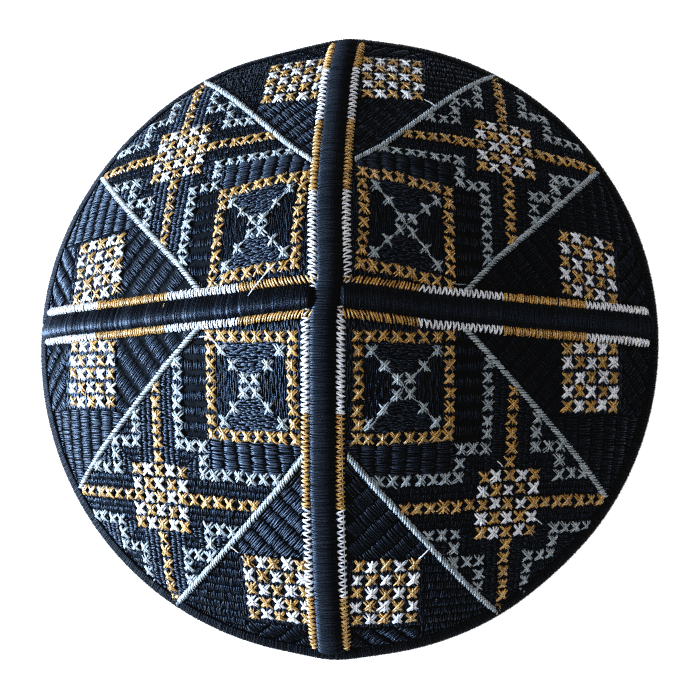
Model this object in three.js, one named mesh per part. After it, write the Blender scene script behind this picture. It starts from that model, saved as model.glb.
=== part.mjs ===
// Four-gore embroidered prayer cap: quilted cloth panels, stuffed ridges over the
// seams and a bound rim. Lengths are millimetres and +Z is up. The origin is on the
// table under the middle of the cap. +Y is the end of the long ridge that points to
// the top of the picture and +X is to its right.
import * as THREE from 'three';

// Cloth
const CLOTH_THICKNESS = 2.2; // quilted two-layer wall
const SEAM_GAP = 0.3; // clearance left between neighbouring sewn pieces

// Crown profile along a seam: distance from the top and slope below level there
const CROWN_PROFILE = [
  { along: 0, slope: 0 },
  { along: 6, slope: 9 },
  { along: 19, slope: 17 },
  { along: 37, slope: 23.5 },
  { along: 56, slope: 27 },
  { along: 75, slope: 25 },
  { along: 93, slope: 36 },
  { along: 100, slope: 46 },
  { along: 106, slope: 56 },
];
const PROFILE_STEP = 0.25; // length of the straight bits the profile is summed from
const PANEL_LENGTH = 99.2; // top of the crown to the lower edge of the panels
const HEM_LENGTH = 103.6; // top of the crown to the lower edge of the rim binding

// Plan shape of the rim
const OVAL = 1.014; // length along the long ridge over the width across it
const RIM_SHIFTS = [ // soft outward and inward swells of the rim, by heading
  { heading: 90, outward: 0.9, spread: 5 },
  { heading: 270, outward: 0.9, spread: 5 },
  { heading: 104, outward: -0.9, spread: 8 },
  { heading: 312, outward: -0.5, spread: 10 },
  { heading: 170, outward: 0.4, spread: 16 },
];
const SHIFT_START = 55; // distance from the top where those swells begin

// Ridges over the seams
const LONG_RIDGE_WIDTH = 7.4; // the ridge that runs unbroken over the crown
const SIDE_RIDGE_WIDTH = 8.6; // the two ridges that stop against it
const RIDGE_SECTION = [ // share of the half width, height over the cloth face
  { across: -1, height: -0.5 },
  { across: -0.86, height: 0.55 },
  { across: -0.5, height: 1.35 },
  { across: 0, height: 1.7 },
  { across: 0.5, height: 1.35 },
  { across: 0.86, height: 0.55 },
  { across: 1, height: -0.5 },
];

// Rim binding section: distance below its upper edge and height over the cloth face
const RIM_OUTER = [
  { below: 0, height: -0.2 },
  { below: 0.6, height: 0.45 },
  { below: 2.2, height: 0.75 },
  { below: 3.6, height: 0.6 },
];
const HEM_ROUND = 0.5; // rounding where the binding turns under
const HEM_FLAT = 1.9; // width of the flat edge the cap rests on

// Fineness of the faceted solids
const PANEL_ROWS = 19;
const PANEL_COLUMNS = 18;
const LONG_RIDGE_STEPS = 56;
const SIDE_RIDGE_STEPS = 27;
const RIM_STEPS = 112;
const HALVINGS = 40; // steps of the search for a place on the profile

const radians = THREE.MathUtils.degToRad;

function slopeAt(along) {
  let row = 1;
  while (row < CROWN_PROFILE.length - 1 && CROWN_PROFILE[row].along < along) row += 1;
  const before = CROWN_PROFILE[row - 1];
  const after = CROWN_PROFILE[row];
  const share = (along - before.along) / (after.along - before.along);
  return radians(before.slope + share * (after.slope - before.slope));
}

// Radius and drop at each profile step, summed from the slopes
function sumProfile() {
  const points = [{ radius: 0, drop: 0 }];
  const count = Math.ceil(CROWN_PROFILE.at(-1).along / PROFILE_STEP);
  for (let step = 0; step < count; step += 1) {
    const slope = slopeAt((step + 0.5) * PROFILE_STEP);
    const last = points.at(-1);
    points.push({
      radius: last.radius + Math.cos(slope) * PROFILE_STEP,
      drop: last.drop + Math.sin(slope) * PROFILE_STEP,
    });
  }
  return points;
}

const profile = sumProfile();

function profileAt(along) {
  const place = along / PROFILE_STEP;
  const index = Math.min(Math.floor(place), profile.length - 2);
  const share = place - index;
  const before = profile[index];
  const after = profile[index + 1];
  return {
    radius: THREE.MathUtils.lerp(before.radius, after.radius, share),
    drop: THREE.MathUtils.lerp(before.drop, after.drop, share),
  };
}

const hemHeight = profileAt(HEM_LENGTH).drop + HEM_ROUND;

// Swell of the rim at one heading, growing from nothing at SHIFT_START
function rimShift(along, heading) {
  const reach = Math.max(0, (along - SHIFT_START) / (HEM_LENGTH - SHIFT_START));
  let shift = 0;
  for (const row of RIM_SHIFTS) {
    const turned = heading - radians(row.heading) + Math.PI;
    const apart = THREE.MathUtils.euclideanModulo(turned, 2 * Math.PI) - Math.PI;
    shift += row.outward * Math.exp(-((apart / radians(row.spread)) ** 2));
  }
  return shift * reach * reach;
}

// Point on the outer cloth face
function clothFace(along, heading) {
  const { radius, drop } = profileAt(along);
  const reach = radius + rimShift(along, heading);
  return new THREE.Vector3(
    reach * Math.cos(heading),
    OVAL * reach * Math.sin(heading),
    hemHeight - drop,
  );
}

function clothNormal(along, heading) {
  const slope = slopeAt(along);
  return new THREE.Vector3(
    Math.sin(slope) * Math.cos(heading),
    Math.sin(slope) * Math.sin(heading),
    Math.cos(slope),
  );
}

function offsetFace(along, heading, height) {
  return clothFace(along, heading).addScaledVector(clothNormal(along, heading), height);
}

// Distance along the profile at which the crown has a given radius
function alongForRadius(radius) {
  let low = 0;
  let high = PANEL_LENGTH;
  for (let turn = 0; turn < HALVINGS; turn += 1) {
    const middle = (low + high) / 2;
    if (profileAt(middle).radius < radius) low = middle;
    else high = middle;
  }
  return (low + high) / 2;
}

function signedVolume(vertices, triangles) {
  let volume = 0;
  for (const [first, second, third] of triangles) {
    volume += vertices[first].dot(vertices[second].clone().cross(vertices[third])) / 6;
  }
  return volume;
}

function makeMesh(name, vertices, triangles, look) {
  const outward = signedVolume(vertices, triangles) > 0;
  const index = triangles.flatMap(([a, b, c]) => (outward ? [a, b, c] : [a, c, b]));
  const geometry = new THREE.BufferGeometry();
  geometry.setAttribute('position', new THREE.Float32BufferAttribute(
    vertices.flatMap((vertex) => vertex.toArray()), 3));
  geometry.setIndex(index);
  geometry.computeVertexNormals();
  const mesh = new THREE.Mesh(geometry, new THREE.MeshStandardMaterial(look));
  mesh.name = name;
  return mesh;
}

// Triangles between two rows of vertex numbers; a row of one is a corner
function joinRows(upper, lower) {
  const triangles = [];
  for (let column = 0; column < lower.length - 1; column += 1) {
    if (upper.length === 1) {
      triangles.push([upper[0], lower[column], lower[column + 1]]);
    } else {
      triangles.push([upper[column], lower[column], lower[column + 1]]);
      triangles.push([upper[column], lower[column + 1], upper[column + 1]]);
    }
  }
  return triangles;
}

function turnOver(triangles) {
  return triangles.map(([a, b, c]) => [a, c, b]);
}

// Closed wall from matching rows of outer and inner points; the first row is a corner
function wallSolid(name, outerRows, innerRows, look) {
  const vertices = [];
  const number = (rows) => rows.map((row) => row.map((point) => vertices.push(point) - 1));
  const outer = number(outerRows);
  const inner = number(innerRows);
  const triangles = [];
  for (let row = 0; row < outer.length - 1; row += 1) {
    triangles.push(...joinRows(outer[row], outer[row + 1]));
    triangles.push(...turnOver(joinRows(inner[row], inner[row + 1])));
  }
  const side = (pick) => [outer.map(pick), inner.map(pick)];
  const [firstOuter, firstInner] = side((row) => row[0]);
  const [lastOuter, lastInner] = side((row) => row.at(-1));
  triangles.push(...joinRows(firstOuter, firstInner));
  triangles.push(...turnOver(joinRows(lastOuter, lastInner)));
  triangles.push(...joinRows(outer.at(-1), inner.at(-1)));
  return makeMesh(name, vertices, triangles, look);
}

// Closed bar or ring from matching sections
function sweptSolid(name, sections, ring, look) {
  const vertices = sections.flat();
  const size = sections[0].length;
  const triangles = [];
  const spans = ring ? sections.length : sections.length - 1;
  for (let span = 0; span < spans; span += 1) {
    const here = span * size;
    const next = ((span + 1) % sections.length) * size;
    for (let corner = 0; corner < size; corner += 1) {
      const after = (corner + 1) % size;
      triangles.push([here + corner, here + after, next + after]);
      triangles.push([here + corner, next + after, next + corner]);
    }
  }
  if (!ring) {
    const lastStart = (sections.length - 1) * size;
    for (let corner = 1; corner < size - 1; corner += 1) {
      triangles.push([0, corner + 1, corner]);
      triangles.push([lastStart, lastStart + corner, lastStart + corner + 1]);
    }
  }
  return makeMesh(name, vertices, triangles, look);
}

// One quarter of the crown, between two ridges and above the rim binding
function panel(name, signX, signY, look) {
  const besideSide = SIDE_RIDGE_WIDTH / 2 + SEAM_GAP;
  const besideLong = LONG_RIDGE_WIDTH / 2 + SEAM_GAP;
  const cornerAlong = alongForRadius(Math.hypot(besideSide / OVAL, besideLong));
  const outerRows = [];
  const innerRows = [];
  for (let row = 0; row <= PANEL_ROWS; row += 1) {
    const along = cornerAlong + (PANEL_LENGTH - cornerAlong) * (row / PANEL_ROWS);
    const { radius } = profileAt(along);
    const start = Math.asin(Math.min(1, besideSide / (OVAL * radius)));
    const end = Math.acos(Math.min(1, besideLong / radius));
    const columns = row === 0 ? 0 : PANEL_COLUMNS;
    const outer = [];
    const inner = [];
    for (let column = 0; column <= columns; column += 1) {
      const share = columns === 0 ? 0 : column / columns;
      const quarter = start + (end - start) * share;
      const heading = Math.atan2(signY * Math.sin(quarter), signX * Math.cos(quarter));
      outer.push(offsetFace(along, heading, 0));
      inner.push(offsetFace(along, heading, -CLOTH_THICKNESS));
    }
    outerRows.push(outer);
    innerRows.push(inner);
  }
  return wallSolid(name, outerRows, innerRows, look);
}

// Ridge section at one place along a seam; width runs along `across`
function ridgeSection(along, heading, across, width) {
  const point = (share, height) => offsetFace(along, heading, height)
    .addScaledVector(across, share * width / 2);
  const section = RIDGE_SECTION.map((row) => point(row.across, row.height));
  section.push(point(1, -CLOTH_THICKNESS), point(-1, -CLOTH_THICKNESS));
  return section;
}

function longRidge(look) {
  const across = new THREE.Vector3(1, 0, 0);
  const sections = [];
  for (let step = 0; step <= LONG_RIDGE_STEPS; step += 1) {
    const place = PANEL_LENGTH * (1 - 2 * step / LONG_RIDGE_STEPS);
    const heading = place >= 0 ? radians(90) : radians(270);
    sections.push(ridgeSection(Math.abs(place), heading, across, LONG_RIDGE_WIDTH));
  }
  return sweptSolid('ridge_long', sections, false, look);
}

function sideRidge(name, heading, look) {
  const across = new THREE.Vector3(0, 1, 0);
  const start = LONG_RIDGE_WIDTH / 2 + SEAM_GAP;
  const sections = [];
  for (let step = 0; step <= SIDE_RIDGE_STEPS; step += 1) {
    const along = start + (PANEL_LENGTH - start) * (step / SIDE_RIDGE_STEPS);
    sections.push(ridgeSection(along, radians(heading), across, SIDE_RIDGE_WIDTH));
  }
  return sweptSolid(name, sections, false, look);
}

// Stitched binding round the open edge, flat underneath
function rimBinding(look) {
  const top = PANEL_LENGTH + SEAM_GAP;
  const sections = [];
  for (let step = 0; step < RIM_STEPS; step += 1) {
    const heading = 2 * Math.PI * step / RIM_STEPS;
    const section = RIM_OUTER.map((row) => offsetFace(top + row.below, heading, row.height));
    const hem = clothFace(HEM_LENGTH, heading);
    const inward = new THREE.Vector3(-Math.cos(heading), -Math.sin(heading), 0);
    const onTable = (distance) => hem.clone().addScaledVector(inward, distance).setZ(0);
    section.push(hem, onTable(HEM_ROUND), onTable(HEM_ROUND + HEM_FLAT));
    section.push(offsetFace(top, heading, -CLOTH_THICKNESS));
    sections.push(section);
  }
  return sweptSolid('rim_binding', sections, true, look);
}

const QUILTED_CLOTH = { color: 0x24262f, roughness: 0.78, metalness: 0 };
const RIDGE_CLOTH = { color: 0x1a1b21, roughness: 0.72, metalness: 0 };
const BINDING_THREAD = { color: 0x1d1e26, roughness: 0.7, metalness: 0 };

const cap = new THREE.Group();
cap.name = 'prayer_cap';
cap.add(
  panel('panel_ne', 1, 1, QUILTED_CLOTH),
  panel('panel_nw', -1, 1, QUILTED_CLOTH),
  panel('panel_sw', -1, -1, QUILTED_CLOTH),
  panel('panel_se', 1, -1, QUILTED_CLOTH),
  longRidge(RIDGE_CLOTH),
  sideRidge('ridge_e', 0, RIDGE_CLOTH),
  sideRidge('ridge_w', 180, RIDGE_CLOTH),
  rimBinding(BINDING_THREAD),
);

export default cap;
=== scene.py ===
"""Looks of the embroidered prayer cap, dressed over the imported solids.

Shapes are worked out in millimetres on the face of the cap and scaled to metres when a
piece is made. North is +Y, the top of the picture, and east is +X.
"""

import bpy
import numpy as np
from mathutils import Matrix


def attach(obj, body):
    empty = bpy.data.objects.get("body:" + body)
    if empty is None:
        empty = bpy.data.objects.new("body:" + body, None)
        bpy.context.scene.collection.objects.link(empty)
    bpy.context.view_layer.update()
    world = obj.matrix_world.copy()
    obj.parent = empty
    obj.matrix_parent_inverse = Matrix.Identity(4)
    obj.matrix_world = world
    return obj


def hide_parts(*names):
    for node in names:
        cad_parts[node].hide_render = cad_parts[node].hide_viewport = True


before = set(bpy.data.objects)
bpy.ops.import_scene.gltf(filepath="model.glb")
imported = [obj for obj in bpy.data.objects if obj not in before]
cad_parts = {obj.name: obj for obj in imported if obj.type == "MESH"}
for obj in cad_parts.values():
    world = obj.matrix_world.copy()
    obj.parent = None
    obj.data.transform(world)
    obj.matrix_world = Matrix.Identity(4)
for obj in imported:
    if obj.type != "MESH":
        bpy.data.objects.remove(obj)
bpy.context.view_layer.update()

MM = 0.001  # metres in a millimetre
SEED = 1907
chance = np.random.default_rng(SEED)

# Face of the cap, as in the solids: distance from the top along a seam, slope in degrees
CROWN_PROFILE = np.array([
    (0, 0), (6, 9), (19, 17), (37, 23.5), (56, 27), (75, 25), (93, 36), (100, 46), (106, 56),
])
PROFILE_STEP = 0.25
PANEL_LENGTH = 99.2  # top of the crown to the lower edge of the panels
HEM_LENGTH = 103.6  # top of the crown to the lower edge of the rim
HEM_ROUND = 0.5
HEM_FLAT = 1.9
OVAL = 1.014  # length along y over width along x
# Small waves of the rim: heading in degrees, outward, spread in degrees
RIM_SWELLS = [(90, 0.9, 5), (270, 0.9, 5), (104, -0.9, 8), (312, -0.5, 10), (170, 0.4, 16)]
SWELL_START = 55  # distance from the top where those swells begin
CLOTH_THICKNESS = 2.2
SEAM_GAP = 0.3
LONG_RIDGE_WIDTH = 7.4
SIDE_RIDGE_WIDTH = 8.6

# Stitch grid of a gore: cells counted away from the east-west seam (j) and from the
# north-south seam (i), and how the flat grid bends over the crown
CELL = 3.597
FIRST_COLUMN = 2.14  # cells from the top to cell 0, east-west
FIRST_ROW = 2.70  # the same, north-south
ROW_STRETCH = 1.046
GRID_REACH = 20  # cells over which the bending terms below are scaled
LENGTHEN = (0.0114, 0.0047, -0.0213)
FAN = (-0.1298, 0.4745, -0.2297)
SHEAR = (-0.0212, 0.0099)
TURN = (-0.0373, 0.0137)

# Near the crown the real grid lies a little askew: shares of the shifts below in each gore
SQUEEZE = {"ne": 1.0, "nw": 1.0, "sw": 1.0, "se": 0.3}
SLANT = {"ne": 1.15, "nw": 0.85, "sw": 0.0, "se": 0.0}
ASKEW_END, ASKEW_FADE = 10.5, 3.0  # cells from the seams where the shifts end
ASKEW_SHIFT_I = (0.2, -0.036)  # cells: everywhere, by i
ASKEW_SHIFT_J = (-0.04, -0.08, 0.109, -0.004)  # cells: everywhere, by i, by j, by both
SHORTEST_REACH, TINY = 0.1, 1e-9  # keep divisions near the top defined

GORES = {"ne": (1, 1), "nw": (-1, 1), "sw": (-1, -1), "se": (1, -1)}
SEAM_HEADINGS = {"e": 0, "n": 90, "w": 180, "s": 270}

steps = np.arange(0, CROWN_PROFILE[-1, 0] + PROFILE_STEP / 2, PROFILE_STEP)
step_slopes = np.radians(np.interp((steps[1:] + steps[:-1]) / 2, *CROWN_PROFILE.T))
radii = np.concatenate([[0], np.cumsum(np.cos(step_slopes) * PROFILE_STEP)])
drops = np.concatenate([[0], np.cumsum(np.sin(step_slopes) * PROFILE_STEP)])
hem_height = np.interp(HEM_LENGTH, steps, drops) + HEM_ROUND


def rim_swell(along, heading):
    reach = np.maximum(0, (along - SWELL_START) / (HEM_LENGTH - SWELL_START))
    swell = 0
    for centre, outward, spread in RIM_SWELLS:
        apart = (heading - np.radians(centre) + np.pi) % (2 * np.pi) - np.pi
        swell = swell + outward * np.exp(-((apart / np.radians(spread)) ** 2))
    return swell * reach**2


def on_cap(along, heading, height=0.0):
    """Points at a height over the cloth face, and the face's normals there."""
    along, heading, height = np.broadcast_arrays(along, heading, height)
    reach = np.interp(along, steps, radii) + rim_swell(along, heading)
    slope = np.radians(np.interp(along, *CROWN_PROFILE.T))
    drop = np.interp(along, steps, drops)
    face = np.stack(
        [reach * np.cos(heading), OVAL * reach * np.sin(heading), hem_height - drop], -1)
    normal = np.stack(
        [np.sin(slope) * np.cos(heading), np.sin(slope) * np.sin(heading), np.cos(slope)], -1)
    return face + normal * height[..., None], normal


def askew(gore, i, j):
    """Place in the even grid for a place in a gore's own grid."""
    share = np.clip((ASKEW_END - np.maximum(i, j)) / ASKEW_FADE, 0, 1)
    even_i, i_by_i = ASKEW_SHIFT_I
    even_j, j_by_i, j_by_j, j_by_both = ASKEW_SHIFT_J
    shift_i = even_i + i_by_i * i
    shift_j = even_j + j_by_i * i + j_by_j * j + j_by_both * i * j
    return i + share * SQUEEZE[gore] * shift_i, j + share * SLANT[gore] * shift_j


def by_chart(gore, i, j):
    """Distance from the top and heading of a place in a gore's stitch grid."""
    i, j = askew(gore, i, j)
    x = i + FIRST_COLUMN
    y = (j + FIRST_ROW) * ROW_STRETCH
    out = np.hypot(x, y)
    turned = np.arctan2(y, x) - np.pi / 4
    share = out / GRID_REACH
    fourfold = np.cos(4 * turned)
    along = CELL * out * (
        1 + LENGTHEN[0] * share**2 + LENGTHEN[1] * share**2 * fourfold
        + LENGTHEN[2] * share * fourfold)
    quarter = np.pi / 4 + turned * (1 + FAN[0] + FAN[1] * share + FAN[2] * share**2)
    quarter = quarter + (SHEAR[0] * share + SHEAR[1] * share**2) * np.sin(4 * turned) / 4
    quarter = quarter + TURN[0] + TURN[1] * share
    sign_x, sign_y = GORES[gore]
    return along, np.arctan2(sign_y * np.sin(quarter), sign_x * np.cos(quarter))


def by_seam(seam, along, offset):
    """Heading of a place at a signed distance from a seam, counted anticlockwise."""
    stretch = OVAL if seam in "ew" else 1.0
    reach = np.interp(along, steps, radii) * stretch
    lean = np.arcsin(np.clip(offset / np.maximum(reach, SHORTEST_REACH), -1, 1))
    return np.radians(SEAM_HEADINGS[seam]) + lean


def unit(vectors):
    return vectors / np.maximum(np.linalg.norm(vectors, axis=-1, keepdims=True), TINY)


def shaken(values, spread):
    """Values made uneven by a standard deviation."""
    return values + chance.normal(0, spread, np.shape(values))


def stitch_places(start, end, shares):
    """Columns i and j of the places along straight stitches."""
    path = start[:, None] + (end - start)[:, None] * shares[None, :, None]
    return path[..., 0], path[..., 1]


def put_in_scene(name, data):
    item = bpy.data.objects.new(name, data)
    bpy.context.scene.collection.objects.link(item)
    return item


# Strands

def tube_faces(stations, sides):
    """Triangles of one closed strand: a point, rings between, and a point."""
    rings = stations - 2
    last = 1 + rings * sides
    faces = []
    for side in range(sides):
        after = (side + 1) % sides
        faces.append((0, 1 + after, 1 + side))
        for ring in range(rings - 1):
            here = 1 + ring * sides
            there = here + sides
            faces.append((here + side, here + after, there + after))
            faces.append((here + side, there + after, there + side))
        end = 1 + (rings - 1) * sides
        faces.append((end + side, end + after, last))
    return np.array(faces)


def strands(points, normals, half_width, half_height, sides, roll=0.0):
    """Closed tapering strands along rows of stations (strand, station, 3).

    Returns vertices, triangles and the lay of the thread: millimetres along, turns round.
    """
    count, stations, _ = points.shape
    along = unit(np.gradient(points, axis=1))
    across = unit(np.cross(along, normals))
    upward = np.cross(across, along)
    roll = np.broadcast_to(np.asarray(roll, float), (count,))[:, None, None, None]
    turn_share = (np.arange(sides) + 0.5) / sides
    angle = 2 * np.pi * turn_share - np.pi / 2
    wide = np.broadcast_to(half_width, (count, stations))[:, 1:-1, None, None]
    high = np.broadcast_to(half_height, (count, stations))[:, 1:-1, None, None]
    angle = angle[None, None, :, None] + roll
    rings = (points[:, 1:-1, None] + across[:, 1:-1, None] * np.cos(angle) * wide
             + upward[:, 1:-1, None] * np.sin(angle) * high)
    vertices = np.concatenate(
        [points[:, :1], rings.reshape(count, -1, 3), points[:, -1:]], axis=1)
    run = np.cumsum(np.linalg.norm(np.diff(points, axis=1), axis=-1), axis=1)
    run = np.concatenate([np.zeros((count, 1)), run], axis=1)
    lay = np.zeros(vertices.shape)
    lay[:, 1:-1, 0] = np.repeat(run[:, 1:-1], sides, axis=1)
    lay[:, -1, 0] = run[:, -1]
    lay[:, 1:-1, 1] = np.tile(turn_share, stations - 2)
    size = vertices.shape[1]
    base = np.arange(count)[:, None, None] * size
    triangles = (tube_faces(stations, sides)[None] + base).reshape(-1, 3)
    return vertices.reshape(-1, 3), triangles, lay.reshape(-1, 3), size


class Stitching:
    """Strands of one piece, gathered with their tone and thread."""

    def __init__(self):
        self.vertices, self.triangles, self.lay = [], [], []
        self.tones, self.threads = [], []
        self.total = 0

    def add(self, made, tone, thread=0):
        vertices, triangles, lay, size = made
        self.vertices.append(vertices)
        self.triangles.append(triangles + self.total)
        self.lay.append(lay)
        self.tones.append(np.repeat(tone, size))
        self.threads.append(np.full(len(triangles), thread))
        self.total += len(vertices)

    def add_solid(self, vertices, triangles):
        """Core under the strands, of the piece's first material."""
        size = len(vertices)
        self.add((vertices, triangles, np.zeros((size, 3)), size), np.zeros(1))


def make_piece(name, stitching, materials):
    vertices = np.concatenate(stitching.vertices) * MM
    triangles = np.concatenate(stitching.triangles)
    mesh = bpy.data.meshes.new(name)
    mesh.vertices.add(len(vertices))
    mesh.vertices.foreach_set("co", vertices.ravel())
    mesh.loops.add(triangles.size)
    mesh.loops.foreach_set("vertex_index", triangles.ravel().astype(np.int32))
    mesh.polygons.add(len(triangles))
    mesh.polygons.foreach_set("loop_start", np.arange(0, triangles.size, 3, dtype=np.int32))
    mesh.polygons.foreach_set("material_index", np.concatenate(stitching.threads).astype(np.int32))
    mesh.polygons.foreach_set("use_smooth", np.ones(len(triangles), dtype=bool))
    tone = mesh.attributes.new("tone", "FLOAT", "POINT")
    tone.data.foreach_set("value", np.concatenate(stitching.tones).astype(np.float32))
    lay = mesh.attributes.new("lay", "FLOAT_VECTOR", "POINT")
    lay.data.foreach_set("vector", np.concatenate(stitching.lay).ravel().astype(np.float32))
    mesh.update(calc_edges=True)
    mesh.validate()
    for material in materials:
        mesh.materials.append(material)
    return put_in_scene(name, mesh)


# Solid cores under the stitches

def grid_faces(numbers):
    """Triangles over a sheet of vertex numbers."""
    a, b = numbers[:-1, :-1], numbers[:-1, 1:]
    c, d = numbers[1:, 1:], numbers[1:, :-1]
    return np.concatenate([
        np.stack([a, d, c], -1).reshape(-1, 3), np.stack([a, c, b], -1).reshape(-1, 3)])


def facing_out(vertices, triangles):
    a, b, c = (vertices[triangles[:, k]] for k in range(3))
    volume = np.einsum("ij,ij->", a, np.cross(b, c))
    return triangles if volume > 0 else triangles[:, ::-1]


def wall(outer, inner):
    """Closed wall between two sheets of points of one size."""
    rows, columns, _ = outer.shape
    top = np.arange(rows * columns).reshape(rows, columns)
    under = top + rows * columns
    vertices = np.concatenate([outer.reshape(-1, 3), inner.reshape(-1, 3)])
    rim = np.concatenate([top[0, :-1], top[:-1, -1], top[-1, :0:-1], top[:0:-1, 0]])
    rim = np.append(rim, rim[0])
    edge = np.stack([rim, rim + rows * columns])
    triangles = np.concatenate(
        [grid_faces(top), grid_faces(under)[:, ::-1], grid_faces(edge)[:, ::-1]])
    return vertices, facing_out(vertices, triangles)


def swept(sections, ring=False):
    """Closed bar, or ring, through matching sections (section, corner, 3)."""
    count, corners, _ = sections.shape
    vertices = sections.reshape(-1, 3)
    numbers = np.arange(count * corners).reshape(count, corners)
    numbers = np.concatenate([numbers, numbers[:, :1]], axis=1)
    if ring:
        numbers = np.concatenate([numbers, numbers[:1]])
    parts = [grid_faces(numbers)]
    if not ring:
        fan = np.array([(0, k, k + 1) for k in range(1, corners - 1)])
        parts += [fan, fan[:, ::-1] + (count - 1) * corners]
    triangles = np.concatenate(parts)
    return vertices, facing_out(vertices, triangles)


# Embroidery chart of one gore

GOLD, WHITE, GREY = 0, 1, 2
SQUARE = 7  # last row and column of the gold square
STAR_LOW, STAR_HIGH, STAR_MIDDLE = 10, 14, 12
ARM_IN, ARM_OUT = (4, 9), (15, 20)
CHECKER = 5  # crosses along a side of the checker blocks
SIDE_CHECKER = (16.4, 1.2)  # first cell of the block beside the east-west seam
LONG_CHECKER = (1.03, 16.05)  # first cell of the block beside the north-south seam
# Corners of the grey stairs, walked cell by cell; each is also drawn mirrored
MAIN_STAIR = [(10, 2), (10, 8), (8, 8), (8, 10), (2, 10)]
SIDE_STAIR = [(14, 6), (14, 8), (16, 8), (16, 10), (18, 10)]
OUTER_STAIR = [(14, 19), (14, 16), (16, 16), (16, 14), (19, 14)]


def walk(corners):
    cells = [corners[0]]
    for (i, j), (to_i, to_j) in zip(corners, corners[1:]):
        while (i, j) != (to_i, to_j):
            i += np.sign(to_i - i)
            j += np.sign(to_j - j)
            cells.append((i, j))
    return cells


def crosses():
    """Rows of (i, j, thread) for every cross stitch of a gore."""
    rows = []
    edge = range(SQUARE + 1)
    rows += [(i, j, GOLD) for i in edge for j in edge if i in (0, SQUARE) or j in (0, SQUARE)]
    for k in range(1, SQUARE):
        rows += [(k, k, GREY), (k, SQUARE - k, GREY)]
    star = range(STAR_LOW, STAR_HIGH + 1)
    rows += [(i, j, WHITE if (i + j) % 2 else GOLD) for i in star for j in star]
    for low, high in (ARM_IN, ARM_OUT):
        for k in range(low, high + 1):
            rows += [(STAR_MIDDLE, k, GOLD), (k, STAR_MIDDLE, GOLD)]
    stairs = walk(MAIN_STAIR) + walk(OUTER_STAIR) + walk(SIDE_STAIR)
    stairs += [(j, i) for i, j in walk(SIDE_STAIR)]
    rows += [(i, j, GREY) for i, j in stairs]
    for first_i, first_j in (SIDE_CHECKER, LONG_CHECKER):
        for a in range(CHECKER):
            for b in range(CHECKER):
                rows.append((first_i + a, first_j + b, WHITE if (a + b) % 2 else GOLD))
    return np.array(rows, float)


CROSSES = crosses()

# Strands of one cross in the order they are sewn: start and end in cells from its middle
CROSS_STRANDS = np.array([
    (-0.48, -0.40, 0.40, 0.47),
    (-0.38, -0.47, 0.48, 0.38),
    (0.48, -0.40, -0.40, 0.47),
    (0.38, -0.47, -0.48, 0.40),
    (0.03, -0.40, -0.03, 0.40),
])
CROSS_LOW, CROSS_HIGH, CROSS_STEP = -0.2, 0.30, 0.055
CROSS_SHARES = np.array([0, 0.07, 0.28, 0.5, 0.72, 0.93, 1])
CROSS_RISE = np.array([0, 0.45, 0.92, 1, 0.92, 0.45, 0])
THREAD_TAPER = np.array([0, 0.8, 1, 1, 1, 0.8, 0])
CROSS_HALF_WIDTH = np.array([0.29, 0.31, 0.25])  # by thread
CROSS_SIDES = 5
THREAD_FLATNESS = 0.8  # height of an embroidery thread as a share of its width
# Standard deviations of the crosses, in cells, as shares and in millimetres
CROSS_WANDER, CROSS_END_SPREAD = 0.035, 0.045
CROSS_SIZE_SPREAD, CROSS_WIDTH_SPREAD = 0.05, 0.1
CROSS_TOP_SPREAD = 0.03


def sew_crosses(gore, work):
    middles, threads = CROSSES[:, :2], CROSSES[:, 2].astype(int)
    centres = shaken(middles, CROSS_WANDER)
    size = chance.normal(1.0, CROSS_SIZE_SPREAD, (len(middles), 1))
    for layer, strand in enumerate(CROSS_STRANDS):
        start = shaken(centres + strand[:2] * size, CROSS_END_SPREAD)
        end = shaken(centres + strand[2:] * size, CROSS_END_SPREAD)
        along, heading = by_chart(gore, *stitch_places(start, end, CROSS_SHARES))
        top = CROSS_HIGH + CROSS_STEP * layer
        top = top + chance.normal(0, CROSS_TOP_SPREAD, (len(middles), 1))
        height = CROSS_LOW + (top - CROSS_LOW) * CROSS_RISE
        points, normals = on_cap(along, heading, height)
        width = CROSS_HALF_WIDTH[threads] * chance.normal(1, CROSS_WIDTH_SPREAD, len(middles))
        for thread in (GOLD, WHITE, GREY):
            pick = threads == thread
            half = width[pick, None] * THREAD_TAPER
            made = strands(
                points[pick], normals[pick], half, half * THREAD_FLATNESS, CROSS_SIDES)
            work.add(made, chance.uniform(0, 1, pick.sum()), thread)


# Satin stitch lines

SATIN_SHARES = np.array([0, 0.08, 0.3, 0.5, 0.7, 0.92, 1])
SATIN_RISE = np.array([0, 0.54, 0.89, 1, 0.89, 0.54, 0])
SATIN_SIDES = 5
# Grey line: from the seam to the rim, in cells, and its mirror image
GREY_LINE = ((8.15, -0.45), (20.4, 11.8))
GREY_PITCH = 0.25
GREY_HALF = 0.23  # half the width of the line, in cells, measured square to it
GREY_LEAN = 0.26  # the same along the line
GREY_PLACE_SPREAD, GREY_SIZE_SPREAD = 0.02, 0.07
GREY_TOP, GREY_TOP_SPREAD, GREY_LOW = 0.72, 0.04, -0.1
GREY_THREAD_HALF = 0.3


def satin(along, heading, top, low, half_width):
    height = low + (top - low) * SATIN_RISE
    points, normals = on_cap(along, heading, height)
    half = half_width * THREAD_TAPER
    return strands(points, normals, half, half * THREAD_FLATNESS, SATIN_SIDES)


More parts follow.
